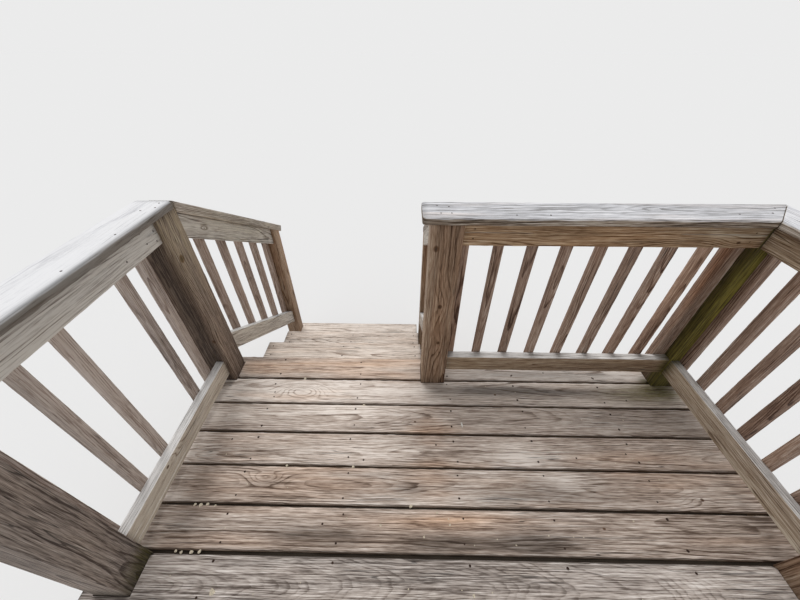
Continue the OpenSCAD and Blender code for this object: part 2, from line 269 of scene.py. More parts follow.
class Lumber:
    """The mesh of one or more timbers: points, faces and what each point keeps for the wood's material.
    A knot with a negative radius shows only as bent grain."""

    def __init__(self, node):
        self.node = node
        self.points, self.faces = [], []
        self.kept = {key: [] for key in PLAIN + KNOT_SLOTS}
        self.low, self.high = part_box(node)
        self.dice = random.Random(node)
        self.patches = [p for p in PATCHES if any(node.startswith(name) for name in p.nodes)]

    def keep(self, timber, grain, place, member, heart, tone, spots, sizes):
        """Keeps what one point tells the material."""
        self.points.append(place)
        self.kept["grain"].append(grain)
        self.kept["half"].append(tuple(timber.half))
        self.kept["member"].append(member)
        self.kept["pith"].append(heart)
        self.kept["tone"].append(tuple(tone))
        self.kept["weather_and_shading"].append(weather_and_shading(self.patches, place))
        self.kept["knot_size"].append(sizes)
        for key, spot in zip(KNOT_SLOTS, spots):
            self.kept[key].append(spot)

    def knot_spots(self, timber, knots):
        """Places on the timber's own axes and sizes of its knots, each given as (x, y, z, radius)."""
        near = [k for k in knots if timber.holds(Vector(k[:3]), abs(k[3]))][:len(KNOT_SLOTS)]
        spots = [timber.local(Vector(k[:3])) for k in near] + [NO_KNOT] * (len(KNOT_SLOTS) - len(near))
        return spots, tuple([k[3] for k in near] + [MM] * (len(KNOT_SLOTS) - len(near)))

    def add(self, timber, edge=3 * MM, step=12 * MM, cells=(6, 3), checks=(), cup=0.0, bow=0.8 * MM, wear=0.6,
            pith=None, notches=(), corners=(0, 0, 0, 0), knots=(), tone=EVEN):
        """Sweeps a worn, slightly bowed timber. notches are (start, end, lowest v, highest v): where along
        the piece its width is cut to less. corners are radii at the near and far end, low and high side.
        tone is how much lighter and warmer this piece is than its kind, and how wide its rings are. pith is
        where the heart of its tree lay, across and through, and how far it leans along the piece."""
        dice = self.dice
        hv, hw = timber.half[1:]
        (start, lean_v0, lean_w0), (end, lean_v1, lean_w1) = timber.ends
        member = tuple(dice.random() for _ in range(3))
        heart = (dice.uniform(-0.5, 0.5) * hv, -hw - dice.uniform(0.01, 0.07), dice.uniform(-0.03, 0.03))
        heart = pith or heart
        section = rounded_section(hv, hw, edge, cells[0], cells[1], checks)
        length = timber.length()
        saw_cuts = [(near - start, far - start) for near, far, _, _ in notches]
        stops = stations(length, step, max(corners), saw_cuts)
        shift = Vector(member) * 50
        spots, sizes = self.knot_spots(timber, knots)
        first, ring = len(self.points), len(section)
        for s in stops:
            t, back = s / length, min(s, length - s)
            tuck = arc_gap(SOFT_END, back)
            cut = [arc_gap(radius, back) for radius in (corners[:2] if s < length / 2 else corners[2:])]
            sway_v = noise.noise(shift + Vector((s * 0.9, 0, 0)))
            sway_w = noise.noise(shift + Vector((s * 0.9, 7, 0)))
            for v, w, on_corner, check, side in section:
                worn = tuck
                if on_corner:
                    near_edge = Vector((s * 26, math.copysign(9, v), math.copysign(5, w))) + shift
                    worn += wear * edge * max(0.0, 0.25 + 0.75 * noise.noise(near_edge))
                new_v, new_w = v * (1 - worn / hv), w * (1 - worn / hw)
                new_v *= 1 - cut[0 if v < 0 else 1] / hv
                if check:
                    new_v, new_w = check.opened(start + s, side, new_v, new_w)
                new_w -= cup * (new_v / hv) ** 2
                new_v += bow * sway_v
                new_w += bow * (0.6 * sway_w - 0.3)
                for near, far, lowest, highest in notches:
                    if near + SAW_CUT / 2 < start + s < far - SAW_CUT / 2:
                        new_v = min(max(new_v, lowest), highest)
                u0 = start + lean_v0 * new_v + lean_w0 * new_w
                u1 = end + lean_v1 * new_v + lean_w1 * new_w
                u = u0 + (u1 - u0) * t
                place = timber.place(u, new_v, new_w)
                place = Vector([min(max(c, lo), hi) for c, lo, hi in zip(place, self.low, self.high)])
                self.keep(timber, (u, v, w), place, member, heart, tone, spots, sizes)
        for k in range(len(stops) - 1):
            for i in range(ring):
                a, b = first + k * ring + i, first + k * ring + (i + 1) % ring
                self.faces.append((a, b, b + ring, a + ring))
        self.faces.append(tuple(reversed(range(first, first + ring))))
        last = first + (len(stops) - 1) * ring
        self.faces.append(tuple(range(last, last + ring)))
        return self

    def add_cut(self, timber, points, faces, tone=EVEN, pith=None, knots=()):
        """Adds a sawn shape point by point, for a board or stringer whose outline no sweep gives."""
        dice = self.dice
        member = tuple(dice.random() for _ in range(3))
        heart = pith or (dice.uniform(-0.3, 0.3) * timber.half[1], -timber.half[2] - 0.03, 0.01)
        spots, sizes = self.knot_spots(timber, knots)
        first = len(self.points)
        for point in points:
            self.keep(timber, timber.local(point), point, member, heart, tone, spots, sizes)
        self.faces.extend(tuple(first + k for k in face) for face in faces)
        return self

    def finish(self, material):
        mesh = bpy.data.meshes.new(self.node + "_timber")
        mesh.from_pydata(self.points, [], self.faces)
        for key, values in self.kept.items():
            made = mesh.attributes.new(key, "FLOAT_VECTOR", "POINT")
            made.data.foreach_set("vector", [c for value in values for c in value])
        mesh.shade_smooth()
        mesh.materials.append(material)
        piece = bpy.data.objects.new(mesh.name, mesh)
        bpy.context.scene.collection.objects.link(piece)
        level = piece.modifiers.new("flat faces", "WEIGHTED_NORMAL")
        level.weight = 80
        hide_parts(self.node)
        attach(piece, "root")
        return piece


# Materials

class Graph:
    """Short names for the nodes of a material or a sky."""

    def __init__(self, owner):
        self.owner = owner
        owner.use_nodes = True
        self.tree = owner.node_tree
        self.tree.nodes.clear()

    def feed(self, socket, value):
        """Links a socket to another one's value, or sets it to a number or colour."""
        if isinstance(value, bpy.types.NodeSocket):
            self.tree.links.new(value, socket)
        else:
            socket.default_value = value

    def node(self, kind, sockets=(), **settings):
        made = self.tree.nodes.new(kind)
        for key, value in settings.items():
            setattr(made, key, value)
        for key, value in dict(sockets).items():
            self.feed(made.inputs[key], value)
        return made

    def attribute(self, name):
        return self.node("ShaderNodeAttribute", attribute_name=name).outputs["Vector"]

    def split(self, vector):
        return self.node("ShaderNodeSeparateXYZ", {0: vector}).outputs

    def join(self, x, y, z):
        return self.node("ShaderNodeCombineXYZ", {0: x, 1: y, 2: z}).outputs[0]

    def math(self, operation, a, b=0.0, c=0.0, clamp=False):
        made = self.node("ShaderNodeMath", {0: a, 1: b, 2: c}, operation=operation, use_clamp=clamp)
        return made.outputs[0]

    def chain(self, operation, values):
        """One operation over several values, from left to right."""
        total = values[0]
        for value in values[1:]:
            total = self.math(operation, total, value)
        return total

    def plus(self, *values):
        return self.chain("ADD", values)

    def times(self, *values):
        return self.chain("MULTIPLY", values)

    def most(self, *values):
        return self.chain("MAXIMUM", values)

    def minus(self, a, b):
        return self.math("SUBTRACT", a, b)

    def with_share(self, base, share, value):
        """base and a share of value."""
        return self.math("MULTIPLY_ADD", value, share, base)

    def vector(self, operation, a, b=(0, 0, 0)):
        made = self.node("ShaderNodeVectorMath", {0: a, 1: b}, operation=operation)
        return made.outputs["Value" if operation == "LENGTH" else "Vector"]

    def noise(self, vector, scale=1.0, detail=2.0, roughness=0.5):
        sockets = {"Vector": vector, "Scale": scale, "Detail": detail, "Roughness": roughness}
        return self.node("ShaderNodeTexNoise", sockets).outputs["Fac"]

    def step(self, value, low, high, out_low=0.0, out_high=1.0):
        """Goes smoothly from out_low to out_high as value goes from low to high."""
        sockets = {"Value": value, "From Min": low, "From Max": high, "To Min": out_low, "To Max": out_high}
        return self.node("ShaderNodeMapRange", sockets, interpolation_type="SMOOTHSTEP").outputs[0]

    def mix(self, share, a, b, blend="MIX"):
        made = self.node("ShaderNodeMix", data_type="RGBA", blend_type=blend)
        share_socket, a_socket, b_socket = (made.inputs[k] for k in (0, 6, 7))
        self.feed(share_socket, share)
        self.feed(a_socket, a)
        self.feed(b_socket, b)
        return made.outputs[2]

    def shaded(self, colour, shade):
        return self.mix(1.0, colour, self.join(shade, shade, shade), "MULTIPLY")

    def ramp(self, value, colours):
        """Blends evenly spaced colours as value goes from 0 to 1."""
        made = self.node("ShaderNodeValToRGB", {0: value})
        stops = made.color_ramp.elements
        while len(stops) < len(colours):
            stops.new(0.5)
        for k in range(len(colours)):
            stops[k].position = k / (len(colours) - 1)
        for stop, colour in zip(stops, colours):
            stop.color = linear(*colour)
        return made.outputs[0]

    def finish(self, colour, roughness, height=None, strength=0.5, distance=1 * MM, specular=0.25):
        shader = self.node("ShaderNodeBsdfPrincipled", {"Base Color": colour, "Roughness": roughness})
        shader.inputs["Specular IOR Level"].default_value = specular
        if height is not None:
            bump = self.node("ShaderNodeBump", {"Height": height, "Strength": strength, "Distance": distance})
            self.tree.links.new(bump.outputs[0], shader.inputs["Normal"])
        self.node("ShaderNodeOutputMaterial", {"Surface": shader.outputs[0]})
        return self.owner


FRESH_TINT = (1.15, 0.76, 0.46, 1.0)
KNOT_DARK, KNOT_LIGHT, KNOT_HEART = linear(66, 42, 28), linear(112, 76, 50), linear(38, 25, 17)
MOSS_DARK, MOSS_LIGHT = linear(82, 74, 34), linear(158, 148, 66)


class Wood(Graph):
    """The material of a weathered softwood, which reads what Lumber keeps at each point."""

    def __init__(self, name):
        super().__init__(bpy.data.materials.new(name))
        self.grain = self.attribute("grain")
        self.member = self.vector("MULTIPLY", self.attribute("member"), (50, 50, 50))
        self.patch = self.stretched(1.6, 13.0, 4.0, 0.65, (9, 3, 0))
        self.streak = self.stretched(2.4, 210.0, 3.0, 0.6, (5, 0, 0))
        self.dash = self.stretched(12.0, 350.0, 2.0, 0.65, (1, 6, 0))
        self.fibre = self.stretched(30.0, 1000.0, 2.0)
        self.spots = self.stretched(60.0, 160.0, 3.0, 0.7, (3, 3, 3))

    def stretched(self, along, around, detail=2.0, roughness=0.5, offset=(0, 0, 0)):
        """Noise with so many waves to the metre along the grain and across it."""
        place = self.vector("ADD", self.vector("MULTIPLY", self.grain, (along, around, around)), self.member)
        return self.noise(self.vector("ADD", place, offset), 1.0, detail, roughness)

    def centred(self, value, gain):
        """Noise that swings round 0."""
        return self.times(self.minus(value, 0.5), gain)


def heart_distance(g):
    """Distance from the heart of the tree, which wanders along the piece."""
    u, v, w = g.split(g.grain)
    heart_v, heart_w, lean = g.split(g.attribute("pith"))
    drift = g.centred(g.stretched(1.1, 0.0, 1.0), 0.10)
    rise = g.centred(g.stretched(1.3, 0.0, 1.0, offset=(0, 31, 0)), 0.07)
    dv = g.minus(v, g.plus(drift, heart_v))
    dw = g.minus(w, g.plus(rise, g.with_share(heart_w, u, lean)))
    waves = g.centred(g.stretched(4.5, 26.0), 9 * MM)
    ripples = g.centred(g.stretched(13.0, 130.0), 2.2 * MM)
    return g.plus(g.vector("LENGTH", g.join(dv, dw, 0.0)), waves, ripples)


def round_knots(g, radius):
    """Bends the rings round the knots. Gives the new radius, and where the grain is bent, where the knots
    are and where their hearts are."""
    size = g.split(g.attribute("knot_size"))
    bent, knots, hearts = [], [], []
    for k, slot in enumerate(KNOT_SLOTS):
        away = g.vector("SUBTRACT", g.grain, g.attribute(slot))
        reach, solid = g.math("ABSOLUTE", size[k]), g.math("GREATER_THAN", size[k], 0.0)
        long_way = g.vector("LENGTH", g.vector("MULTIPLY", away, (0.34, 1, 1)))
        flow = g.math("DIVIDE", long_way, reach)
        swirl = g.math("POWER", 2.718, g.times(g.math("POWER", flow, 2.0), -0.22))
        bend = g.times(reach, g.with_share(2.6, -1.5, solid))
        radius = g.with_share(radius, bend, swirl)
        round_way = g.vector("LENGTH", g.vector("MULTIPLY", away, (0.75, 1, 1)))
        near = g.math("DIVIDE", round_way, reach)
        bent.append(swirl)
        knots.append(g.times(solid, g.step(near, 0.35, 0.62, 1.0, 0.0)))
        hearts.append(g.times(solid, g.step(near, 0.05, 0.45, 1.0, 0.0)))
    return radius, g.most(*bent), g.most(*knots), g.most(*hearts)


def ring_lines(g, radius, bent, spacing):
    """How dark the growth rings are. Some are stronger than others, and they fade here and there, but not
    where they are bent."""
    turns = g.math("DIVIDE", radius, spacing)
    ring = g.math("FRACT", turns)
    dark = g.times(g.step(ring, 0.50, 0.90), g.step(ring, 0.93, 1.0, 1.0, 0.0))
    number = g.times(g.math("FLOOR", turns), 7.3)
    each = g.noise(g.join(number, g.split(g.member)[0], 0.0), 1.0, 0.0)
    seen = g.step(g.stretched(3.0, 30.0, 2.0, 0.5, (4, 0, 9)), 0.35, 0.6, 0.25, 1.0)
    return g.times(dark, g.step(each, 0.3, 0.65, 0.2, 1.0), g.most(seen, bent))


def lightness(g, streaks):
    """Streaks and fibres of every length, and broad patches."""
    broad = g.stretched(0.8, 4.0, 2.0, 0.5, (0, 0, 17))
    crisp = g.step(g.stretched(5.5, 200.0, 3.0, 0.6, (11, 2, 5)), 0.40, 0.60)
    parts = [(g.streak, 1.2 * streaks), (g.dash, 1.6 * streaks), (g.fibre, 1.2),
             (crisp, 0.24 * streaks), (g.patch, 0.9), (broad, 0.5)]
    return g.plus(0.60, *[g.centred(part, gain) for part, gain in parts])


def palette(g, value, top, side):
    """The top palette on faces that look up, the side palette on the others."""
    up = g.split(g.node("ShaderNodeNewGeometry").outputs["Normal"])[2]
    return g.mix(g.step(up, 0.35, 0.9), g.ramp(value, side), g.ramp(value, top))


def tinted(g, colour, warmer, bleach):
    """Greys a colour where the wood is cold, and turns it orange-brown where the wood is fresh."""
    grey = g.step(g.plus(warmer, g.centred(g.patch, 0.5)), -1.0, 0.0, 0.25, 1.0)
    colour = g.node("ShaderNodeHueSaturation", {"Saturation": grey, "Color": colour}).outputs[0]
    uneven = g.centred(g.stretched(1.3, 15.0, 3.0, 0.6, (6, 6, 6)), 1.1)
    fresh = g.plus(g.times(bleach, -0.7), g.times(warmer, 0.7), uneven)
    fresh = g.math("MULTIPLY", fresh, g.step(g.patch, 0.3, 0.7, 0.6, 1.2), clamp=True)
    return g.mix(fresh, colour, g.mix(1.0, colour, FRESH_TINT, "MULTIPLY"))


def edges_worn_and_shaded(g, edge_shade, edge_width):
    """Edges darkened as painted shade in the gaps of deck and treads, or lightened as painted highlights on
    the arrises of rails, caps, posts and balusters, partly dirt and wear; and grime at the ends.
    """
    place, half = g.split(g.grain), g.split(g.attribute("half"))
    room = [g.minus(half[k], g.math("ABSOLUTE", place[k])) for k in range(3)]
    inner, outer = g.math("MINIMUM", room[1], room[2]), g.most(room[1], room[2])
    edge = g.most(inner, g.math("MINIMUM", room[0], outer))
    ragged = g.plus(g.centred(g.stretched(14.0, 60.0, 2.0), 0.8 * edge_width), edge)
    from_end = g.plus(room[0], g.centred(g.streak, 30 * MM))
    return g.times(g.step(ragged, 0.0, edge_width, edge_shade, 1.0),
                   g.step(from_end, 0.0, 25 * MM, 0.75, 1.0))


def fine_cracks(g, share):
    """Drying cracks that are too fine for the mesh."""
    split = g.stretched(1.8, 70.0, 1.0, 0.5, (2, 8, 4))
    crack = g.step(g.math("ABSOLUTE", g.minus(split, 0.5)), 0.004, 0.014, 1.0, 0.0)
    where = g.stretched(2.6, 9.0, 1.0, 0.5, (7, 7, 1))
    return g.times(crack, g.step(where, 0.55, 0.64, 0.0, share))


def dirt_and_shade(g, grime):
    """Grime and painted shade, broken up by the grain."""
    broken = g.step(g.plus(g.patch, g.streak), 0.75, 1.2, 0.75, 1.3)
    return g.math("MULTIPLY", grime, broken, clamp=True)


def knotted(g, colour, knots, hearts):
    knot = g.mix(g.step(g.dash, 0.3, 0.7), KNOT_DARK, KNOT_LIGHT)
    knot = g.mix(g.times(hearts, 0.8), knot, KNOT_HEART)
    return g.mix(g.times(knots, 0.85), colour, knot)


def mossy(g, colour, moss, shade):
    """Moss with a ragged outline, as dark as the shade of the wood under it."""
    green = g.mix(g.step(g.plus(g.dash, g.streak), 0.8, 1.2), MOSS_DARK, MOSS_LIGHT)
    ragged = g.plus(moss, g.centred(g.plus(g.spots, g.patch, g.streak), 0.6))
    grown = g.times(g.step(ragged, 0.1, 1.0, 0.0, 0.9), g.step(moss, 0.0, 0.15))
    return g.mix(grown, colour, g.shaded(green, shade))


def timber_material(name, top, side, spacing=6.0 * MM, streaks=1.0, rings=1.0, edge_shade=0.7,
                    edge_width=4 * MM, cracks=1.0):
    """Weathered flat-sawn softwood. top and side are palettes, from the darkest growth lines to the most
    bleached fibres, of the faces that look up and of the others. spacing is the width of a ring. streaks,
    rings and cracks are how strongly each shows, edge_shade how light the timber is along its edges."""
    g = Wood(name)
    lighter, warmer, wide = g.split(g.attribute("tone"))
    moss, grime, bleach = g.split(g.attribute("weather_and_shading"))
    radius, bent, knots, hearts = round_knots(g, heart_distance(g))
    dark = ring_lines(g, radius, bent, g.times(wide, spacing))
    value = g.with_share(lightness(g, streaks), -0.75 * rings, dark)
    value = g.with_share(g.plus(value, lighter), 0.30, bleach)
    colour = tinted(g, palette(g, value, top, side), warmer, bleach)
    crack = fine_cracks(g, cracks)
    shade = edges_worn_and_shaded(g, edge_shade, edge_width)
    # Cracks, grime with painted shade, and spots darken the wood
    for share, darker in ((-0.6, crack), (-0.62, dirt_and_shade(g, grime)), (-0.2, g.step(g.spots, 0.66, 0.74))):
        shade = g.times(shade, g.with_share(1.0, share, darker))
    colour = knotted(g, g.shaded(colour, shade), knots, hearts)
    colour = mossy(g, colour, moss, shade)
    height = g.times(g.fibre, 0.35)
    for share, raised in ((0.35, dark), (0.6, g.streak), (0.4, g.dash), (-2.2, crack)):
        height = g.with_share(height, share, raised)
    return g.finish(colour, g.step(g.fibre, 0.2, 0.8, 0.78, 0.92), height, 0.8, 1.0 * MM)


def plain_material(name, colour, rough=0.85):
    """A matt, slightly mottled colour for small things such as nail heads."""
    g = Graph(bpy.data.materials.new(name))
    mottled = g.noise(g.node("ShaderNodeTexCoord").outputs["Object"], 300.0, 3.0)
    darker = tuple(0.6 * c for c in colour[:3]) + (1.0,)
    return g.finish(g.mix(g.step(mottled, 0.3, 0.7), darker, colour), rough)


# Looks of the pieces

DECK = ((94, 78, 67), (144, 128, 116), (178, 162, 150), (204, 190, 179), (234, 224, 215))
# Sides of deck and tread boards: dark as painted shade in the gaps, partly unbleached wood
DECK_SIDE_SHADED = ((64, 50, 40), (90, 73, 60), (110, 92, 77), (132, 113, 97), (160, 142, 126))
TREAD = ((128, 109, 96), (178, 162, 149), (212, 198, 186), (228, 216, 205), (244, 234, 225))
CAP = ((130, 128, 128), (174, 174, 177), (198, 198, 202), (211, 211, 215), (232, 232, 234))
CAP_SIDE = ((78, 66, 55), (118, 104, 91), (146, 131, 116), (170, 157, 143), (206, 197, 186))
RAIL_TOP = ((104, 96, 88), (152, 145, 138), (182, 177, 173), (206, 202, 199), (234, 231, 228))
RAIL = ((100, 76, 54), (144, 118, 92), (166, 142, 114), (190, 168, 142), (216, 202, 180))
POST = ((78, 56, 42), (124, 100, 80), (150, 124, 103), (170, 146, 124), (200, 180, 160))
BALUSTER = ((82, 61, 50), (124, 100, 86), (150, 125, 109), (172, 148, 132), (204, 186, 172))
FRAME = ((96, 78, 54), (128, 106, 78), (152, 130, 98), (170, 150, 120), (190, 176, 150))

# edge_shade under 1 paints shade along the edges and in the gaps, partly dirt; over 1 paints highlights on
# the arrises, partly wear
deck_wood = timber_material("deck wood", DECK, DECK_SIDE_SHADED, spacing=9 * MM, rings=0.75, edge_shade=0.3,
                            edge_width=5 * MM)
worn_deck_wood = timber_material("worn deck wood", DECK, DECK_SIDE_SHADED, spacing=9 * MM, rings=0.35, streaks=1.2,
                                 edge_shade=0.3, edge_width=5 * MM)
tread_wood = timber_material("tread wood", TREAD, DECK_SIDE_SHADED, spacing=8 * MM, rings=0.95, streaks=1.1,
                             edge_shade=0.5)
cap_wood = timber_material("cap wood", CAP, CAP_SIDE, spacing=7 * MM, rings=0.95, streaks=1.6,
                           edge_shade=1.05, cracks=0.5)
pale_cap_wood = timber_material("pale cap wood", CAP, CAP_SIDE, spacing=7 * MM, rings=0.4, streaks=0.45,
                                edge_shade=1.05, cracks=0.4)
rail_wood = timber_material("rail wood", RAIL_TOP, RAIL, edge_shade=1.15)
post_wood = timber_material("post wood", POST, POST, spacing=7 * MM, rings=0.9, streaks=0.7, edge_shade=1.12)
baluster_wood = timber_material("baluster wood", BALUSTER, BALUSTER, streaks=0.7, edge_shade=1.15,
                                edge_width=3 * MM)
frame_wood = timber_material("frame wood", FRAME, FRAME, streaks=0.7, rings=0.8)
rust = plain_material("nail rust", linear(58, 42, 34))
# A dark brown for the strips that paint shade in the deck's gaps
gap_shadow_dark = plain_material("gap_shadow_dark", linear(48, 40, 32), 0.95)
husk = plain_material("litter", linear(214, 202, 180))
dropping = plain_material("dropping", linear(238, 236, 230))


def on_deck(boards, x, y, reach_x, reach_y, **brings):
    """A patch of moss, grime, bleaching, painted shade or painted light on some deck boards, given by their
    numbers.
    """
    nodes = [f"deck_board_{k}" for k in boards]
    return Patch(nodes, (x, y, DECK_Z), (reach_x, reach_y, 1.0), **brings)


def on_corner_post(x, y, z, reach, **brings):
    """A patch of moss, grime or painted shade on the corner post, its x and y from the edge nearest the
    middle of the deck.
    """
    return Patch(["corner_post"], (CORNER_X + x, POST_IN_Y + y, z), reach, **brings)


# A reach that takes in the whole piece along an axis
ALL = 9.0
LOW_RAIL_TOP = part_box("front_bottom_rail")[1].z
LEFT_CAP_IN_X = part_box("left_cap")[1].x
UNDER_CAP = CAP_TOP - 0.03
PATCHES += [
    # Corner post and the boards at its foot, green from the damp, with painted shade on the post's sides,
    # under the cap and at its foot
    on_corner_post(0.035, 0.0, 1.02, (0.034, 0.030, 0.50), moss=1.1),
    on_corner_post(0.05, 0.0, 1.2, (0.09, 0.05, 0.50), moss=0.2),
    on_corner_post(0.0, 0.030, 1.25, (0.020, 0.060, 0.60), grime=0.8),
    on_corner_post(0.115, 0.0, 1.25, (0.04, 0.12, 0.60), grime=1.0),
    on_corner_post(0.0, 0.115, 1.25, (0.12, 0.06, 0.60), grime=0.8),
    on_corner_post(0.0, 0.0, 1.56, (0.15, 0.15, 0.13), grime=0.9),
    on_corner_post(0.0, 0.0, DECK_Z, (0.2, 0.2, 0.13), grime=1.0),
    on_deck([2], 0.95, -0.14, 0.22, 0.06, moss=0.10, grime=0.35),
    on_deck([2], 1.06, -0.10, 0.08, 0.05, moss=0.10, grime=0.5),
    on_deck([1], 1.02, -0.06, 0.04, 0.02, moss=0.12, grime=0.5),
    # Painted shade under the front bottom rail, on bleached wood
    on_deck([1], 0.50, -0.03, 0.60, 0.05, grime=0.8, bleach=0.5),
    Patch(["front_bottom_rail", "right_bottom_rail"], (1.04, -0.08, 0.86), (0.04, 0.04, 1.0), moss=0.12,
          grime=0.6),
    # Dark stain along the second board, and its reach onto the third
    on_deck([2], 0.24, -0.128, 0.22, 0.030, grime=1.2),
    on_deck([2], 0.60, -0.132, 0.20, 0.025, grime=0.9),
    on_deck([3], 0.85, -0.290, 0.42, 0.10, grime=0.5),
    # Bleached and fresh patches of the middle boards
    on_deck([4], 0.29, -0.455, 0.10, 0.05, bleach=1.4),
    on_deck([5], 0.44, -0.538, 0.09, 0.04, bleach=1.4),
    on_deck([3], -0.45, -0.255, 0.35, 0.04, bleach=0.8),
    on_deck([4], -0.30, -0.435, 0.24, 0.03, bleach=1.0),
    on_deck([3, 4, 5], -0.08, -0.36, 0.09, 0.25, bleach=-0.45),
    on_deck([5], -0.42, -0.565, 0.26, 0.05, bleach=-0.4, grime=0.3),
    on_deck([4, 5], 0.70, -0.50, 0.22, 0.10, bleach=-0.3, grime=0.35),
    on_deck([1], -0.60, 0.0, 0.65, 0.12, bleach=-0.35, grime=0.1),
    on_deck([5], 0.30, -0.590, 0.25, 0.040, grime=0.6),
    # Grey stains of the fifth, sixth and seventh boards, and fresher wood along the sixth
    on_deck([6], -0.46, -0.740, 0.18, 0.026, grime=1.3),
    on_deck([6], -0.02, -0.752, 0.18, 0.024, grime=1.4),
    on_deck([6], 0.27, -0.748, 0.14, 0.028, grime=1.3),
    on_deck([5], -0.16, -0.585, 0.08, 0.030, grime=0.6),
    on_deck([6], 0.02, -0.690, 0.30, 0.030, bleach=-0.35),
    on_deck([7], 0.00, -0.800, 0.90, 0.015, grime=0.3),
    # Paler ends along the left guard, and a painted soft shadow of the guard on the boards beside them
    on_deck(DECK_BOARDS, -1.09, -0.40, 0.06, 0.42, bleach=0.8),
    on_deck(DECK_BOARDS, -0.975, -0.50, 0.055, 0.32, grime=0.55),
    on_deck([5, 6], -0.94, -0.66, 0.07, 0.10, grime=0.35),
    # Under the caps the rails stay brown and are darkened by painted shade, and the low rail's top is
    # bleached
    Patch(["left_top_rail", "right_top_rail"], (0.0, -0.4, UNDER_CAP), (ALL, ALL, 0.014), grime=0.5,
          bleach=-0.4),
    Patch(["front_bottom_rail"], (0.0, 0.0, LOW_RAIL_TOP), (ALL, ALL, 0.005), bleach=0.8),
    Patch(["front_top_rail"], (0.0, -0.08, UNDER_CAP), (ALL, ALL, 0.014), grime=0.35),
    Patch(["front_top_rail"], (0.95, -0.08, 1.54), (0.20, ALL, 0.10), bleach=0.35, grime=0.15),
    # Posts and the left cap's inner side, with painted light and painted shade on some faces
    # Painted light on the left stair post's face toward the flight, partly bleached wood
    Patch(["left_stair_post"], (STAIR_LEFT_X, 0.0, 1.52), (0.02, ALL, 0.20), bleach=1.4, moss=0.04),
    Patch(["left_stair_post"], (STAIR_LEFT_X, 0.0, 1.0), (0.02, ALL, 0.40), bleach=0.8),
    # Painted shade on the left stair post's near face
    Patch(["left_stair_post"], (-1.095, POST_IN_Y, 1.2), (0.055, 0.02, ALL), grime=0.6),
    # Painted shade at the foot of the left house post, with some moss
    Patch(["left_house_post"], (-1.06, -0.80, DECK_Z + 0.02), (0.1, 0.1, 0.06), moss=0.12, grime=0.9),
    # Painted shade on the left cap's inner side, on browner wood
    Patch(["left_cap"], (LEFT_CAP_IN_X, -0.4, CAP_TOP - 0.020), (0.014, ALL, 0.026), grime=1.5, bleach=-0.3),
    # Painted light on the right stair post's face toward the flight, partly bleached wood
    Patch(["right_stair_post"], (STAIR_RIGHT_X, 0.0, 1.2), (0.02, ALL, ALL), bleach=0.8),
    Patch(["left_foot_post", "right_foot_post"], (0.0, 0.83, 0.25), (ALL, ALL, 0.35), grime=0.35),
    # Painted shade where the posts meet the deck
    Patch(["left_house_post", "right_house_post", "left_stair_post", "right_stair_post"], (0.0, -0.4, DECK_Z),
          (ALL, ALL, 0.05), grime=0.4),
    # Balusters by the corner: a fresher one and a pale and a dark strip of the wide one
    Patch(["front_balusters"], (0.975, -0.043, 1.45), (0.022, 0.02, 0.22), bleach=-0.9),
    Patch(["front_balusters"], (0.945, -0.043, 1.1), (0.012, 0.02, 0.50), bleach=0.7),
    Patch(["front_balusters"], (1.000, -0.043, 1.1), (0.014, 0.02, 0.50), grime=0.5),
    # A green tinge of the left stair guard
    Patch(["left_stair_post", "left_foot_post", "left_stair_top_rail", "left_stair_bottom_rail",
           "stair_caps"], (-1.05, 0.4, 1.2), (0.1, 0.5, 0.6), moss=0.05),
]

# Knots: where each one comes out of the wood, and its radius
KNOTS = [
    (-0.684, -0.141, DECK_Z, -20 * MM), (0.250, -0.153, DECK_Z, 9 * MM), (-0.139, -0.302, DECK_Z, 8 * MM),
    (-0.732, -0.551, DECK_Z, -11 * MM), (0.93, -0.600, DECK_Z, 10 * MM), (0.52, -0.700, DECK_Z, 9 * MM),
    (-0.084, POST_IN_Y, 1.475, 21 * MM), (-0.049, POST_IN_Y, 1.207, 18 * MM),
    (-0.041, POST_IN_Y, 0.997, 15 * MM), (-1.050, POST_IN_Y, 0.985, 15 * MM),
    (STAIR_LEFT_X, -0.055, 1.405, 26 * MM), (0.952, -0.082, 1.508, 11 * MM), (-1.051, -0.568, 0.834, 11 * MM),
    (-1.051, 0.165, 1.421, 6 * MM), (-1.089, -0.242, 1.103, 9 * MM), (0.018, -0.082, 1.239, 12 * MM),
    (-0.30, 0.40, 0.356, 12 * MM),
]


# Ways to make the pieces

POSTS = ["left_house_post", "right_house_post", "left_stair_post", "right_stair_post", "corner_post"]
NOTCH_GAP = 2 * MM


def deck_piece(node, material, worn=(0.0, 0.0), **shape):
    """A deck board, notched round the posts. worn is what its edges away from and toward the flight lost."""
    posts = [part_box(post) for post in POSTS]
    lumber = Lumber(node)
    for points in solids(node):
        timber = Timber(points, X, Z).narrowed(*worn)
        hu, hv = timber.half[:2]
        notches = []
        for low, high in posts:
            near, far = low.x - NOTCH_GAP - timber.middle.x, high.x + NOTCH_GAP - timber.middle.x
            y0, y1 = low.y - NOTCH_GAP - timber.middle.y, high.y + NOTCH_GAP - timber.middle.y
            if y1 > -hv and y0 < hv and far > -hu and near < hu:
                notches.append((near, far, y1, hv) if y0 < -hv else (near, far, -hv, y0))
        lumber.add(timber, edge=6 * MM, cells=(14, 1), cup=1.0 * MM, notches=notches, knots=KNOTS, **shape)
    return lumber.finish(material)


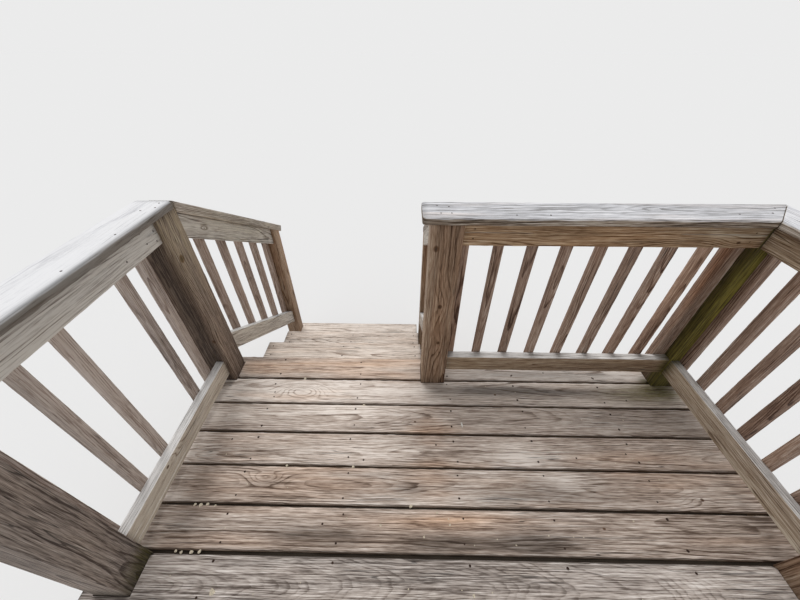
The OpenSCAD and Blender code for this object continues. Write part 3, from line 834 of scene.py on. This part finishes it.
def straight_piece(node, along, through, material, cuts=(), each=(), **shape):
    """Every solid of a node as a worn timber. cuts are (end, place of the cut, its normal), each holds what
    only the first, second and later ones have."""
    lumber = Lumber(node)
    for k, points in enumerate(solids(node)):
        timber = Timber(points, along, through)
        for end, place, normal in cuts:
            timber.cut(end, place(points) if callable(place) else place, normal)
        own = dict(shape)
        own.update(each[k] if k < len(each) else {})
        lumber.add(timber, knots=KNOTS, **own)
    return lumber.finish(material)


def post_piece(node, **shape):
    return straight_piece(node, Z, Y, post_wood, edge=4 * MM, cells=(8, 8), **shape)


def baluster_piece(node, cells=(3, 3), **shape):
    return straight_piece(node, Z, Y, baluster_wood, edge=2.5 * MM, cells=cells, **shape)


def cap_piece(node, along, material=cap_wood, **shape):
    return straight_piece(node, along, Z, material, edge=6 * MM, cells=(14, 2), step=14 * MM, **shape)


def sawn_piece(node, along, through, material, bevel=2.5 * MM, tone=EVEN):
    """A node kept in its sawn outline, for a shape that no sweep gives, with its sharp edges eased."""
    lumber = Lumber(node)
    for points, faces in pieces(node):
        mesh = bpy.data.meshes.new("outline")
        mesh.from_pydata(points, [], faces)
        bm = bmesh.new()
        bm.from_mesh(mesh)
        bpy.data.meshes.remove(mesh)
        sharp = [edge for edge in bm.edges if edge.calc_face_angle(0.0) > math.radians(40)]
        if bevel:
            bmesh.ops.bevel(bm, geom=sharp, offset=bevel, segments=3, profile=0.5, affect="EDGES")
        bm.verts.index_update()
        eased = [vert.co.copy() for vert in bm.verts]
        outline = [[vert.index for vert in face.verts] for face in bm.faces]
        lumber.add_cut(Timber(eased, along, through), eased, outline, tone=tone, knots=KNOTS)
        bm.free()
    return lumber.finish(material)


def slope_of(node):
    """Direction down the flight of the top edge of a rail whose ends are cut plumb."""
    low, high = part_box(node)
    points = solids(node)[0]
    near = max((p for p in points if p.y < low.y + 1 * MM), key=lambda p: p.z)
    far = max((p for p in points if p.y > high.y - 1 * MM), key=lambda p: p.z)
    return Vector((0, far.y - near.y, far.z - near.z)).normalized()


def highest(points):
    return max(points, key=lambda p: p.z)


def lowest(points):
    return min(points, key=lambda p: p.z)


# Deck boards, from the flight backward: how much lighter and warmer each is than the rest and how wide its
# rings are, where the heart of its tree lay, what its edge toward the flight has lost, and its cracks

# Lighter toward the flight: partly each board's own tone, partly painted light
BOARD_TONES_AND_LIGHT = [(0.18, 0.15, 0.8), (0.24, -0.10, 0.7), (0.04, -0.10, 0.8), (0.06, 0.0, 0.7),
               (-0.03, 0.15, 0.8), (-0.12, 0.05, 1.1), (-0.18, -0.45, 0.45)]
BOARD_HEARTS = [None, (0.02, -0.05, 0.015), None, (-0.03, -0.04, 0.02), (0.01, -0.035, -0.02),
                (0.03, -0.06, 0.012), (-0.02, 0.149, 0.10)]
BOARD_LOSS = [0.0, 1.0 * MM, 1.0 * MM, 0.5 * MM, 0.5 * MM, 2.0 * MM, 5.5 * MM]
BOARD_CHECKS = {
    2: [Check("top", 0.024, 0.10, 0.58, 1.6, 4),
        Check("top", -0.045, -0.90, -0.45, 1.4, 3)],
    3: [Check("top", -0.012, 0.35, 0.80, 1.4, 3)],
    4: [Check("top", 0.031, -0.70, -0.25, 1.4, 3)],
    5: [Check("top", -0.038, 0.15, 0.72, 1.5, 3)],
    6: [Check("top", -0.037, -0.54, 0.35, 1.8, 5), Check("top", 0.018, 0.0, 0.6, 1.4, 3)],
    7: [Check("top", -0.008, 0.20, 0.75, 1.6, 4), Check("top", 0.05, -0.9, -0.5, 1.4, 3)],
}
for k, tone, heart, loss in zip(DECK_BOARDS, BOARD_TONES_AND_LIGHT, BOARD_HEARTS, BOARD_LOSS):
    deck_piece(f"deck_board_{k}", worn_deck_wood if k == 7 else deck_wood, worn=(0.5 * MM, loss), tone=tone,
               pith=heart, checks=BOARD_CHECKS.get(k, ()))

# Treads

for k in (1, 2):
    straight_piece(f"tread_{k}", X, Z, tread_wood, edge=6 * MM, cells=(12, 1), cup=0.8 * MM,
                   pith=(-0.01, -0.035, 0.04))
sawn_piece("tread_3", X, Z, tread_wood, bevel=0.0, tone=(0.08, -0.1, 1.0))

# Posts of the landing

post_piece("left_house_post", tone=(-0.22, -0.6, 1.0), pith=(0.01, 0.0, 0.0))
post_piece("right_house_post", pith=(0.0, 0.01, 0.0))
post_piece("left_stair_post", tone=(-0.39, -0.40, 0.9), pith=(-0.01, -0.10, 0.006),
           checks=[Check("bottom", 0.012, -0.55, 0.60, 1.8), Check("right", -0.02, 0.0, 0.7, 1.6)])
post_piece("right_stair_post", tone=(-0.05, 0.2, 1.0), pith=(0.030, 0.060, 0.004),
           checks=[Check("bottom", 0.033, -0.30, 0.72, 2.6, 8),
                   Check("left", 0.01, 0.1, 0.7, 1.6),
                   Check("bottom", -0.037, -0.45, 0.40, 2.2, 7)])
post_piece("corner_post", tone=(-0.1, 0.0, 1.0), pith=(0.0, 0.0, 0.01),
           checks=[Check("left", -0.015, 0.0, 0.7, 1.6)])

# Stair guards, their foot posts and their planks

for side in ("left", "right"):
    rail_slope, low_slope = slope_of(f"{side}_stair_top_rail"), slope_of(f"{side}_stair_bottom_rail")
    rail_up, low_up = X.cross(rail_slope), X.cross(low_slope)
    straight_piece(f"{side}_foot_post", Z, Y, post_wood, cuts=[(1, highest, rail_up)], edge=3.5 * MM,
                   cells=(6, 6), tone=(0.15, 0.2, 1.0), pith=(0.01, 0.01, 0.0),
                   checks=[Check("right", 0.01, -0.2, 0.5, 1.5)])
    baluster_piece(f"{side}_stair_balusters", tone=(0.05, -0.3, 1.0),
                   cuts=[(0, lowest, low_up), (1, highest, rail_up)])
    for node, slope in ((f"{side}_stair_top_rail", rail_slope), (f"{side}_stair_bottom_rail", low_slope)):
        low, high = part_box(node)
        straight_piece(node, slope, X, rail_wood, cuts=[(0, low, Y), (1, high, Y)], tone=(0.24, -0.65, 1.0))
cap_slope = slope_of("left_stair_top_rail")
straight_piece("stair_caps", cap_slope, X.cross(cap_slope), rail_wood, tone=(0.0, -0.6, 1.0),
               cuts=[(0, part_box("stair_caps")[0], Y)])

# Rails and balusters of the three guards

straight_piece("left_top_rail", Y, X, rail_wood, tone=(0.44, -0.75, 1.1), pith=(0.06, -0.05, 0.05),
               checks=[Check("top", 0.012, -0.2, 0.3)])
straight_piece("left_bottom_rail", Y, X, rail_wood, cells=(8, 4), tone=(0.42, -0.4, 0.7),
               pith=(0.03, -0.05, 0.05),
               checks=[Check("top", 0.006, -0.30, 0.36, 1.6), Check("top", -0.022, -0.05, 0.30, 1.4)])
straight_piece("right_top_rail", Y, X, rail_wood, tone=(0.0, -0.2, 1.0))
straight_piece("right_bottom_rail", Y, X, rail_wood, tone=(0.1, -0.3, 1.0))
straight_piece("front_top_rail", X, Y, rail_wood, cells=(8, 3), tone=(-0.12, 0.45, 1.0),
               pith=(0.055, -0.05, 0.01), checks=[Check("bottom", -0.008, -0.28, 0.22, 1.4, 4)])
straight_piece("front_bottom_rail", X, Y, rail_wood, tone=(-0.24, -0.25, 1.0), pith=(0.0, -0.04, 0.03))

FRONT_TONES = [(0.1, 0.3, 0.8), (0.0, 0.0, 0.8), (0.0, -0.1, 0.8), (0.05, 0.05, 0.8), (0.0, 0.15, 0.8),
               (0.05, 0.0, 0.8), (0.0, 0.1, 0.8), (0.05, 0.35, 0.8), (0.1, 0.05, 0.8)]
baluster_piece("front_balusters", cells=(4, 3), each=[{"tone": tone} for tone in FRONT_TONES])
baluster_piece("left_balusters", tone=(0.25, -0.45, 1.0))
baluster_piece("right_balusters")

# The frame under the landing, and the stringers

for node in ("joists", "left_rim", "right_rim"):
    straight_piece(node, Y, X, frame_wood)
for node in ("front_rim", "house_ledger", "stringer_hanger"):
    straight_piece(node, X, Y, frame_wood)
for node in ("stringer_left", "stringer_middle", "stringer_right"):
    sawn_piece(node, cap_slope, X, frame_wood)

# Caps, mitred at the corner

CAP_CORNER = 17 * MM
MITRE = (X - Y).normalized()
cap_piece("left_cap", Y, pale_cap_wood, corners=(0, 0, CAP_CORNER, CAP_CORNER), tone=(0.46, -0.3, 1.0),
          pith=(0.02, -0.04, 0.02), checks=[Check("top", 0.028, -0.10, 0.34, 1.2, 3)])
cap_piece("front_cap", X, cuts=[(1, lambda points: max(points, key=lambda p: p.x - p.y), MITRE)],
          corners=(CAP_CORNER, CAP_CORNER, 0, 0), tone=(-0.03, 0.0, 0.8), pith=(0.02, -0.035, 0.03),
          checks=[Check("top", -0.022, -0.52, -0.22, 1.2, 3),
                  Check("top", 0.035, 0.05, 0.5, 1.2, 3)])
cap_piece("right_cap", Y, cuts=[(1, lambda points: min(points, key=lambda p: p.x - p.y), MITRE)],
          tone=(0.08, 0.0, 1.0))


# Small pieces that belong to no node: nails, litter, and dark strips that paint shade in the gaps

def loose_piece(name, points, faces, material):
    mesh = bpy.data.meshes.new(name)
    mesh.from_pydata(points, [], faces)
    mesh.materials.append(material)
    piece = bpy.data.objects.new(name, mesh)
    bpy.context.scene.collection.objects.link(piece)
    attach(piece, "root")
    return piece


def studs(name, spots, material, height=2.0 * MM, sides=10, ragged=0.0):
    """Small low mounds, each (place, normal, radius): nail heads, or litter with ragged outlines."""
    dice = random.Random(name)
    points, faces = [], []
    for place, normal, radius in spots:
        place, normal = Vector(place), Vector(normal)
        side = normal.cross(Y if abs(normal.y) < 0.9 else X).normalized()
        other = normal.cross(side)
        first = len(points)
        for level, share in ((-height, 1.25), (0.0, 0.9)):
            for k in range(sides):
                a = 2 * math.pi * k / sides
                r = radius * share * (1 + ragged * dice.uniform(-1, 1))
                points.append(place + level * normal + r * (math.cos(a) * side + math.sin(a) * other))
        for k in range(sides):
            n = (k + 1) % sides
            faces.append((first + k, first + n, first + sides + n, first + sides + k))
        faces.append(tuple(range(first + sides, first + 2 * sides)))
        faces.append(tuple(reversed(range(first, first + sides))))
    return loose_piece(name, points, faces, material)


SHADOW_FILL_REACH = 1.07
SHADOW_FILL_CELLS = 180
SHADOW_FILL_DOWN, SHADOW_FILL_SWAY, SHADOW_FILL_FOOT = 11 * MM, 5 * MM, 26 * MM


def gap_shadow_fill(name, material):
    """Dark strips that lie in the gaps between the boards as painted shade, their top uneven and some way
    below the boards'.
    """
    points, faces = [], []
    foot = DECK_Z - SHADOW_FILL_FOOT
    for k in DECK_BOARDS[:-1]:
        y0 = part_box(f"deck_board_{k + 1}")[1].y - BOARD_LOSS[k] - 2 * MM
        y1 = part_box(f"deck_board_{k}")[0].y + 2 * MM
        first = len(points)
        for i in range(SHADOW_FILL_CELLS + 1):
            x = SHADOW_FILL_REACH * (2 * i / SHADOW_FILL_CELLS - 1)
            top = DECK_Z - SHADOW_FILL_DOWN - SHADOW_FILL_SWAY * noise.noise(Vector((x * 13, k * 5.1, 0)))
            points += [Vector((x, y, z)) for y, z in ((y0, top), (y1, top), (y1, foot), (y0, foot))]
        for i in range(SHADOW_FILL_CELLS):
            for j in range(4):
                a, b = first + 4 * i + j, first + 4 * i + (j + 1) % 4
                faces.append((a, b, b + 4, a + 4))
        faces.append((first + 3, first + 2, first + 1, first))
        last = first + 4 * SHADOW_FILL_CELLS
        faces.append((last, last + 1, last + 2, last + 3))
    return loose_piece(name, points, faces, material)


gap_shadow_fill("gap_shadow_fill", gap_shadow_dark)

NAIL = 4.0 * MM
SMALL_NAIL = 0.8 * NAIL
NAIL_COLUMNS = (-0.821, -0.413, 0.027, 0.357, 0.765)
NAIL_FROM_MIDDLE = 42 * MM
ODD_NAILS = [(-0.353, -0.474), (-0.476, -0.701), (-0.052, -0.406), (0.521, -0.452), (0.733, -0.432),
             (-0.927, -0.395), (0.869, -0.174), (-0.817, -0.155), (0.355, -0.038), (0.525, -0.016),
             (0.763, -0.044)]
dice = random.Random("nails")
deck_nails = []
for k in DECK_BOARDS:
    low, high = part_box(f"deck_board_{k}")
    for x in NAIL_COLUMNS:
        for side in (-1, 1):
            y = (low.y + high.y) / 2 + side * NAIL_FROM_MIDDLE + dice.uniform(-7, 7) * MM
            deck_nails.append(((x + dice.uniform(-9, 9) * MM, y, DECK_Z), Z, NAIL * dice.uniform(0.8, 1.2)))
deck_nails += [((x, y, DECK_Z), Z, NAIL) for x, y in ODD_NAILS]
studs("deck_nails", deck_nails, rust)

TREAD_NAIL_SHARES = (0.12, 0.38, 0.62, 0.88)
tread_nails = []
for k in range(1, 4):
    low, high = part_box(f"tread_{k}")
    for string in ("stringer_left", "stringer_middle", "stringer_right"):
        edge_low, edge_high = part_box(string)
        x = (edge_low.x + edge_high.x) / 2
        for share in TREAD_NAIL_SHARES:
            y = low.y + share * (high.y - low.y) + dice.uniform(-5, 5) * MM
            tread_nails.append(((x + dice.uniform(-6, 6) * MM, y, high.z), Z, NAIL))
studs("tread_nails", tread_nails, rust)

FRONT_CAP_NAILS = [(-0.084, -0.009), (-0.044, -0.017), (-0.075, -0.070), (-0.039, -0.069), (0.173, -0.081),
                   (0.285, -0.079), (0.913, -0.059), (1.072, -0.008), (1.030, -0.049)]
LEFT_CAP_NAILS = [(-1.084, -0.070), (-1.049, -0.045), (-1.058, -0.007), (-1.051, -0.239), (-1.053, -0.431)]
cap_nails = [((x, y, CAP_TOP), Z, SMALL_NAIL) for x, y in FRONT_CAP_NAILS + LEFT_CAP_NAILS]
studs("cap_nails", cap_nails, rust)

LEFT_RAIL_NAILS = [(-0.100, 1.543), (-0.105, 1.508), (-0.150, 1.521), (-0.159, 1.563), (-0.254, 1.517)]
FRONT_RAIL_NAILS = [(0.043, 1.552), (0.041, 1.516), (0.990, 1.545), (0.988, 1.512)]
rail_face_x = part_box("left_top_rail")[1].x
rail_face_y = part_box("front_top_rail")[0].y
rail_nails = [((rail_face_x, y, z), X, SMALL_NAIL) for y, z in LEFT_RAIL_NAILS]
rail_nails += [((x, rail_face_y, z), -Y, SMALL_NAIL) for x, z in FRONT_RAIL_NAILS]
studs("rail_nails", rail_nails, rust)

LITTER = [(-0.940, -0.649), (-0.915, -0.646), (-0.885, -0.650), (-0.961, -0.648), (-0.902, -0.790),
          (-0.875, -0.788), (-0.935, -0.790), (-0.955, -0.787), (-0.661, -0.502), (-0.393, -0.501),
          (-0.690, -0.071), (-0.16, -0.640)]
LITTER_SINK = 0.2 * MM
litter = [((x, y, DECK_Z - LITTER_SINK), Z, dice.uniform(3, 6) * MM) for x, y in LITTER]
studs("gap_litter", litter, husk, height=3 * MM, sides=7, ragged=0.35)

FLECKS = [(-0.269, -0.702), (-0.026, -0.679), (-0.023, -0.697), (-0.066, -0.660), (-0.116, -0.734),
          (0.033, -0.885), (-0.303, -0.117), (-0.377, -0.219)]
SMALL_FLECKS = 60
flecks = [((x, y, DECK_Z), Z, dice.uniform(3, 5) * MM) for x, y in FLECKS]
flecks.append(((-0.783, -0.889, DECK_Z), Z, 9 * MM))
for k in range(SMALL_FLECKS):
    low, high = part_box(f"deck_board_{dice.randrange(2, 8)}")
    place = (dice.uniform(-0.95, 0.95), dice.uniform(low.y + 0.02, high.y - 0.02), DECK_Z)
    flecks.append((place, Z, dice.uniform(1.5, 3.0) * MM))
studs("deck_flecks", flecks, husk, height=1.5 * MM, sides=6, ragged=0.4)

WHITE_SPOTS = [((0.070, -0.313), 5 * MM), ((0.070, -0.304), 4 * MM), ((0.070, -0.321), 3 * MM)]
white_spots = [((x, y, DECK_Z), Z, radius) for (x, y), radius in WHITE_SPOTS]
studs("white_spot", white_spots, dropping, sides=9, ragged=0.3)


# Stage, light and camera

FLOOR_REACH = 60.0
FLOOR_GREY = 0.80
SUN_FROM = Vector((-0.10, 0.62, 1.0)).normalized()
SUN_SHARE, SKY_SHARE = 0.60, 0.44


def stage():
    """A wide pale floor, lit to the same shade as the backdrop behind it."""
    floor_mesh = bpy.data.meshes.new("floor")
    corners = [(-FLOOR_REACH, -FLOOR_REACH, 0), (FLOOR_REACH, -FLOOR_REACH, 0), (FLOOR_REACH, FLOOR_REACH, 0),
               (-FLOOR_REACH, FLOOR_REACH, 0)]
    floor_mesh.from_pydata(corners, [], [(0, 1, 2, 3)])
    floor = bpy.data.objects.new("floor", floor_mesh)
    bpy.context.scene.collection.objects.link(floor)
    g = Graph(bpy.data.materials.new("floor"))
    floor_mesh.materials.append(g.finish((FLOOR_GREY, FLOOR_GREY, FLOOR_GREY, 1.0), 1.0, specular=0.0))


def lights():
    """An even overcast sky and a wide, soft sun from beyond the flight."""
    world = bpy.data.worlds.new("studio")
    bpy.context.scene.world = world
    g = Graph(world)
    backdrop = FLOOR_GREY * (SUN_SHARE + SKY_SHARE)
    light = g.node("ShaderNodeBackground", {"Color": (1.0, 1.0, 1.0, 1.0), "Strength": SKY_SHARE})
    seen = g.node("ShaderNodeBackground", {"Color": (backdrop, backdrop, backdrop, 1.0)})
    path = g.node("ShaderNodeLightPath").outputs
    shown = g.most(path["Is Camera Ray"], path["Is Glossy Ray"])
    both = g.node("ShaderNodeMixShader", {0: shown, 1: light.outputs[0], 2: seen.outputs[0]})
    g.node("ShaderNodeOutputWorld", {"Surface": both.outputs[0]})
    lamp = bpy.data.lights.new("wide sun", "SUN")
    lamp.energy, lamp.angle = SUN_SHARE * math.pi / SUN_FROM.z, math.radians(50)
    holder = bpy.data.objects.new("wide sun", lamp)
    bpy.context.scene.collection.objects.link(holder)
    holder.rotation_euler = (-SUN_FROM).to_track_quat("-Z", "Y").to_euler()


def camera():
    yaw, pitch, roll = (math.radians(a) for a in (EYE_YAW, EYE_PITCH, EYE_ROLL))
    ahead = Vector((math.sin(yaw) * math.cos(pitch), math.cos(yaw) * math.cos(pitch), math.sin(pitch)))
    right = Vector((math.cos(yaw), -math.sin(yaw), 0))
    up = right.cross(ahead)
    right, up = (right * math.cos(roll) + up * math.sin(roll), up * math.cos(roll) - right * math.sin(roll))
    lens = bpy.data.cameras.new("view")
    lens.lens, lens.sensor_width, lens.clip_start = LENS_MM, SENSOR_MM, 0.02
    eye = bpy.data.objects.new("view", lens)
    bpy.context.scene.collection.objects.link(eye)
    eye.matrix_world = Matrix.Translation(EYE) @ Matrix((right, up, -ahead)).transposed().to_4x4()
    bpy.context.scene.camera = eye


stage()
lights()
camera()
bpy.context.scene.view_settings.view_transform = "Standard"
